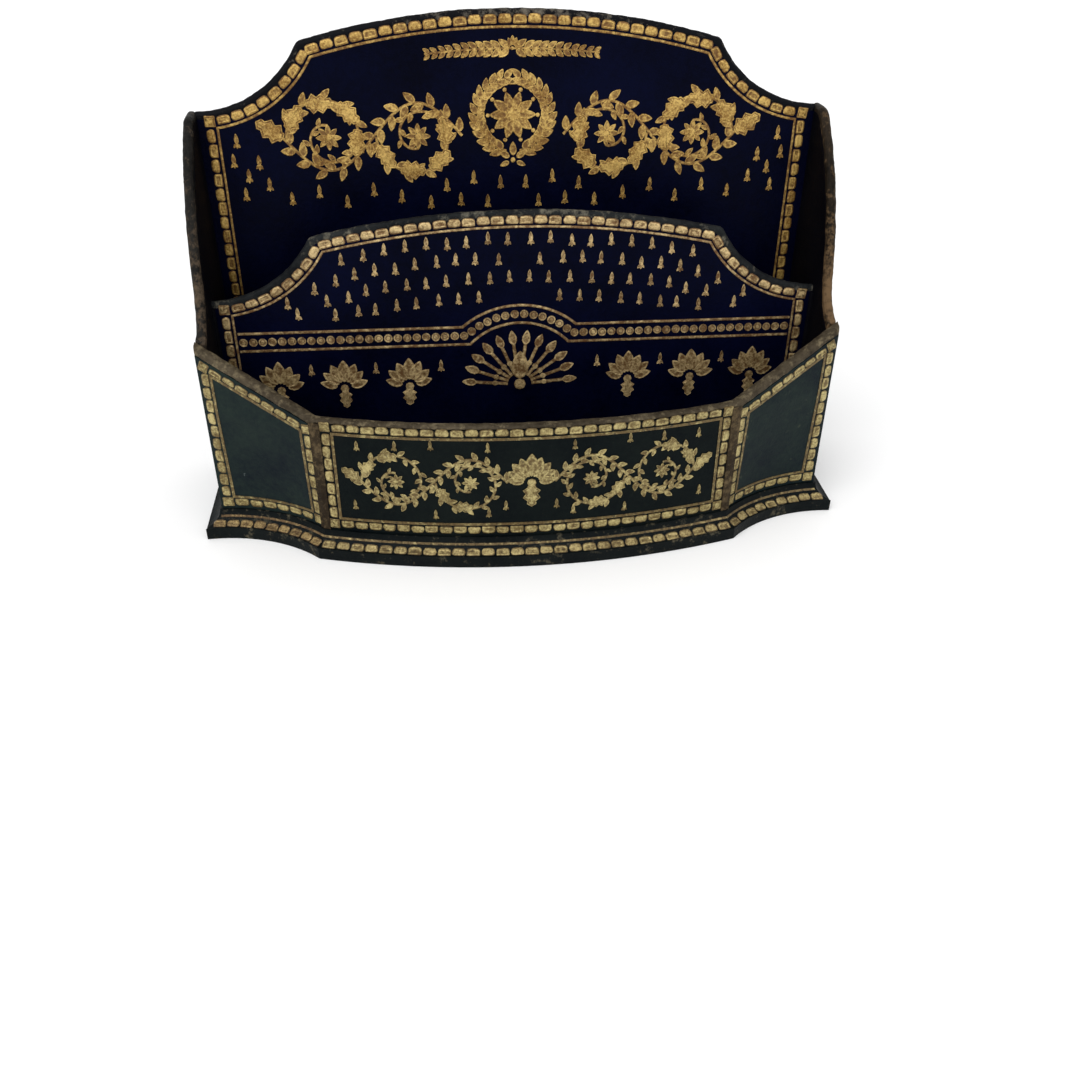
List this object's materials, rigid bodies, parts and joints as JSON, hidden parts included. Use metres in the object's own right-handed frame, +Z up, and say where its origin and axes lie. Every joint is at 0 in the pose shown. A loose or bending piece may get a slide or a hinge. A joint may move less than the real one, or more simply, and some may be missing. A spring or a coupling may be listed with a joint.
{
  "type": "desk letter stand",
  "caption": "Desk letter stand with an arched back, a lower arched divider and a serpentine front case on a flared plinth, covered in tooled leather.",
  "frame": {"origin": "middle of the bounding box, on the surface the stand rests on", "axes": "+Z up, +X to the right of someone facing the front, -Y out of the bowed front"},
  "size_m": [0.3158, 0.115, 0.227],
  "materials": {
    "wood": "plain sawn softwood, hidden under the leather",
    "board": "pressed bookbinder's board, hidden under the leather",
    "baize": "dark green baize",
    "panel_leather": "very dark navy goatskin, gold tooled",
    "case_leather": "dark blue-green goatskin, gold tooled borders",
    "lining_leather": "almost black smooth leather",
    "worn_leather": "leather edge rubbed through to grey-brown"
  },
  "bodies": {
    "root": {"back_board": "wood", "base_board": "wood", "front_board": "wood", "side_board_left": "wood", "side_board_right": "wood", "wing_board_left": "wood", "wing_board_right": "wood", "divider_board": "board", "base_baize": "baize", "back_panel_leather": "panel_leather", "divider_panel_leather": "panel_leather", "back_cover_leather": "case_leather", "front_leather": "case_leather", "plinth_front": "case_leather", "plinth_side_left": "case_leather", "plinth_side_right": "case_leather", "plinth_wing_left": "case_leather", "plinth_wing_right": "case_leather", "side_cover_leather_left": "case_leather", "side_cover_leather_right": "case_leather", "wing_leather_left": "case_leather", "wing_leather_right": "case_leather", "divider_rear_leather": "lining_leather", "floor_leather_front": "lining_leather", "floor_leather_rear": "lining_leather", "front_lining": "lining_leather", "side_lining_left": "lining_leather", "side_lining_right": "lining_leather", "wing_lining_left": "lining_leather", "wing_lining_right": "lining_leather", "back_crest_roll": "worn_leather", "corner_strip_left": "worn_leather", "corner_strip_right": "worn_leather", "divider_crest_roll": "worn_leather", "divider_joint_left": "worn_leather", "divider_joint_right": "worn_leather", "front_rail": "worn_leather", "side_edge_roll_left": "worn_leather", "side_edge_roll_right": "worn_leather", "wing_rail_left": "worn_leather", "wing_rail_right": "worn_leather"}
  },
  "joints": []
}
